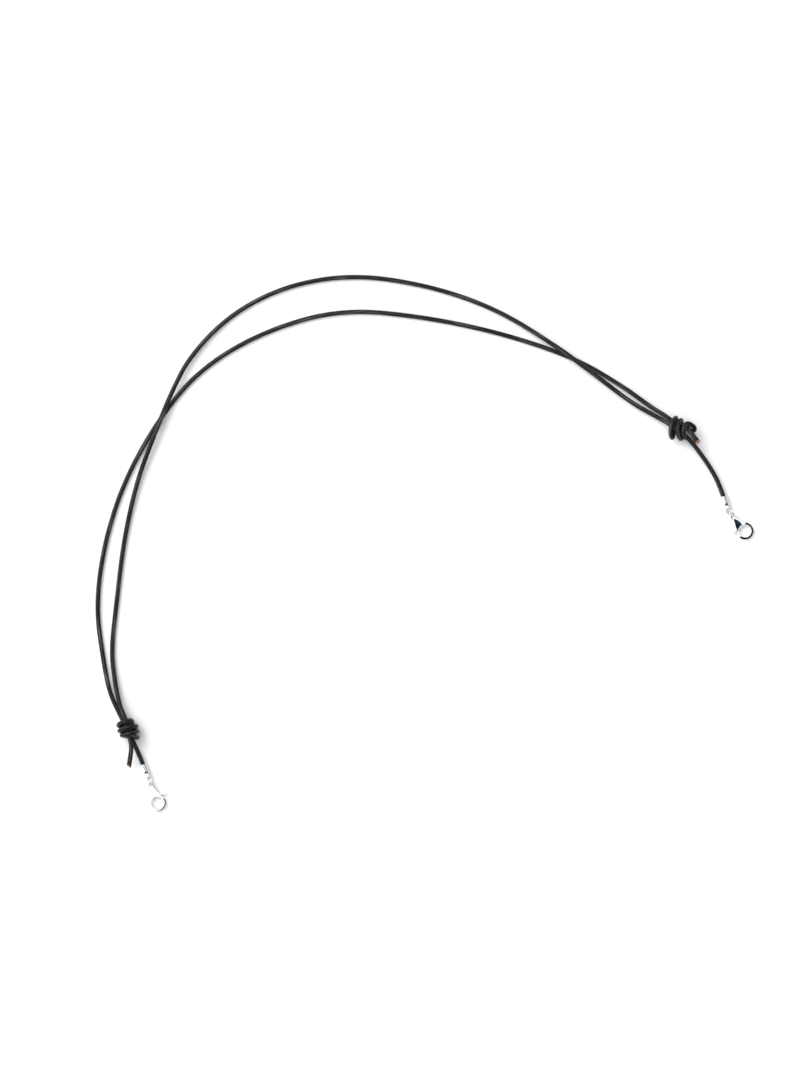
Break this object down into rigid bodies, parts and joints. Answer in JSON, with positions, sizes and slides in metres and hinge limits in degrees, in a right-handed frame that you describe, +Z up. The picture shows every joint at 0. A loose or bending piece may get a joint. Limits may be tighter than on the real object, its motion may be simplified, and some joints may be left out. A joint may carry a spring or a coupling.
{
  "type": "adjustable cord lanyard",
  "caption": "Adjustable lanyard of round black leather cord with sliding knots, crimped cord ends and small lobster clasps, for hanging eyewear or a face covering round the neck.",
  "frame": {"origin": "on the table, at the middle of the footprint of the lanyard as it lies", "axes": "+Z up from the table, +X along the width of the arch towards the right-hand clasp, +Y towards the top of the arch"},
  "size_m": [0.2892, 0.2357, 0.009],
  "materials": {
    "black_leather": "satin",
    "bright_plating": "polished",
    "steel": "satin"
  },
  "bodies": {
    "cords": {"left_cord": "black_leather", "right_cord": "black_leather", "left_crimp": "bright_plating", "right_crimp": "bright_plating"},
    "left_knot": {"left_knot": "black_leather", "left_tail": "black_leather"},
    "left_ring": {"left_jump_ring": "bright_plating"},
    "left_clasp": {"left_clasp_body": "bright_plating", "left_clasp_pin": "steel", "left_clasp_spring": "steel"},
    "left_lever": {"left_clasp_lever": "bright_plating"},
    "right_knot": {"right_knot": "black_leather", "right_tail": "black_leather"},
    "right_ring": {"right_jump_ring": "bright_plating"},
    "right_clasp": {"right_clasp_body": "bright_plating", "right_clasp_pin": "steel", "right_clasp_spring": "steel"},
    "right_lever": {"right_clasp_lever": "bright_plating"}
  },
  "joints": [
    {"name": "left_knot_slide", "type": "slide", "parent": "cords", "child": "left_knot", "axis": [0.4384, -0.8988, 0], "range_m": [0, 0.003]},
    {"name": "left_ring_swing", "type": "hinge", "parent": "cords", "child": "left_ring", "pos_m": [-0.12141, -0.104, 0.0013], "axis": [0, 0, 1], "range_deg": [-40, 40]},
    {"name": "left_clasp_swing", "type": "hinge", "parent": "left_ring", "child": "left_clasp", "pos_m": [-0.12069, -0.10668, 0.0013], "axis": [0, 0, 1], "range_deg": [-50, 50]},
    {"name": "left_lever_press", "type": "hinge", "parent": "left_clasp", "child": "left_lever", "pos_m": [-0.11768, -0.11034, 0.0013], "axis": [0, 0, -1], "range_deg": [0, 25], "stiffness_Nm_per_rad": 0.0008, "springref_deg": -11.46},
    {"name": "right_knot_slide", "type": "slide", "parent": "cords", "child": "right_knot", "axis": [0.7071, -0.7071, 0], "range_m": [0, 0.004]},
    {"name": "right_ring_swing", "type": "hinge", "parent": "cords", "child": "right_ring", "pos_m": [0.13307, 0.01362, 0.0013], "axis": [0, 0, 1], "range_deg": [-40, 40]},
    {"name": "right_clasp_swing", "type": "hinge", "parent": "right_ring", "child": "right_clasp", "pos_m": [0.13504, 0.01118, 0.0013], "axis": [0, 0, 1], "range_deg": [-50, 50]},
    {"name": "right_lever_press", "type": "hinge", "parent": "right_clasp", "child": "right_lever", "pos_m": [0.13689, 0.00681, 0.0013], "axis": [0, 0, 1], "range_deg": [0, 25], "stiffness_Nm_per_rad": 0.0008, "springref_deg": -11.46}
  ]
}
